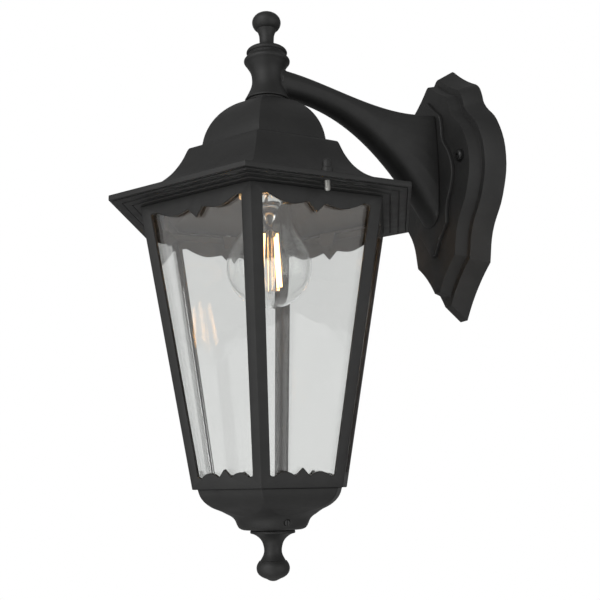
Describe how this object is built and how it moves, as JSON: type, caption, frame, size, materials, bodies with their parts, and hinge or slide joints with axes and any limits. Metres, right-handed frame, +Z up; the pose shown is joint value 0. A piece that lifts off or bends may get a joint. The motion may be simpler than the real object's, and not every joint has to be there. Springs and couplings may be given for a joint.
{
  "type": "outdoor wall lantern",
  "caption": "Black hexagonal outdoor wall lantern that hangs from a curved arm on a wavy stepped wall plate, with clear panes, ogee roof, turned finials and a screw-in lamp.",
  "frame": {"origin": "centre of the mounting strap's back face, in the plane of the wall", "axes": "+Y into the wall, +Z up, +X to the wall's right seen with the wall ahead"},
  "size_m": [0.202, 0.2801, 0.4106],
  "materials": {
    "black_paint": "fine textured matt black powder coat",
    "black_screw": "satin black",
    "zinc_steel": "bright zinc",
    "brass": "satin",
    "lamp_metal": "bright",
    "black_glass": "gloss",
    "clear_glass": "clear",
    "lamp_glass": "clear",
    "filament": "warm glowing strip",
    "cream_holder": "glazed cream",
    "white_plastic": "satin",
    "white_lead": "satin sheath",
    "black_rubber": "matt"
  },
  "bodies": {
    "wall_fixture": {"wall_plate": "black_paint", "wall_gasket": "black_rubber", "mounting_strap": "zinc_steel", "plate_screws": "black_screw", "plate_washers": "black_screw", "terminal_block": "white_plastic", "terminal_screws": "brass", "block_screw": "zinc_steel", "earth_screw": "brass", "earth_washer": "zinc_steel", "cable_grommet": "black_rubber", "supply_lead": "white_lead", "arm": "black_paint", "arm_screws": "zinc_steel", "arm_washers": "zinc_steel", "nipple": "zinc_steel", "nipple_washer": "zinc_steel", "nipple_nut": "zinc_steel", "hub_gasket": "black_rubber", "roof": "black_paint", "roof_screws": "zinc_steel", "cap_nuts": "black_paint", "holder_cap": "cream_holder", "holder_body": "cream_holder", "thread_shell": "brass", "holder_contact": "brass"},
    "cage": {"cage_frame": "black_paint", "pane_retainer": "black_paint", "retainer_screws": "zinc_steel", "base_bowl": "black_paint", "base_screws": "zinc_steel", "drain_screw": "black_screw", "pane_1": "clear_glass", "pane_2": "clear_glass", "pane_3": "clear_glass", "pane_4": "clear_glass", "pane_5": "clear_glass", "pane_6": "clear_glass"},
    "lamp_foot": {"lamp_tip": "lamp_metal"},
    "lamp": {"lamp_insulator": "black_glass", "lamp_cap": "lamp_metal", "lamp_glass": "lamp_glass", "lamp_stem": "lamp_glass", "lamp_filaments": "filament", "lamp_wires": "zinc_steel"},
    "top_washer": {"finial_washer": "black_rubber"},
    "top_knob": {"top_finial": "black_paint"},
    "base_seal": {"base_washer": "black_rubber"},
    "base_knob": {"base_finial": "black_paint"}
  },
  "joints": [
    {"name": "cage_drop", "type": "slide", "parent": "wall_fixture", "child": "cage", "axis": [0, 0, -1], "range_m": [0, 0.09]},
    {"name": "lamp_travel", "type": "slide", "parent": "wall_fixture", "child": "lamp_foot", "axis": [0, 0, -1], "range_m": [0, 0.01995]},
    {"name": "lamp_turn", "type": "hinge", "parent": "lamp_foot", "child": "lamp", "pos_m": [0, -0.1635, -0.0385], "axis": [0, 0, -1], "range_deg": [0, 1980]},
    {"name": "top_knob_travel", "type": "slide", "parent": "wall_fixture", "child": "top_washer", "axis": [0, 0, 1], "range_m": [0, 0.008]},
    {"name": "top_knob_turn", "type": "hinge", "parent": "top_washer", "child": "top_knob", "pos_m": [0, -0.1635, 0.072], "axis": [0, 0, 1], "range_deg": [0, 2880]},
    {"name": "base_knob_travel", "type": "slide", "parent": "cage", "child": "base_seal", "axis": [0, 0, -1], "range_m": [0, 0.008]},
    {"name": "base_knob_turn", "type": "hinge", "parent": "base_seal", "child": "base_knob", "pos_m": [0, -0.1635, -0.2707], "axis": [0, 0, -1], "range_deg": [0, 2880]}
  ],
  "couplings": [
    {"joint": "lamp_turn", "follows": "lamp_travel", "rad_per_m": 1731.4},
    {"joint": "top_knob_turn", "follows": "top_knob_travel", "rad_per_m": 6283.2},
    {"joint": "base_knob_turn", "follows": "base_knob_travel", "rad_per_m": 6283.2}
  ]
}
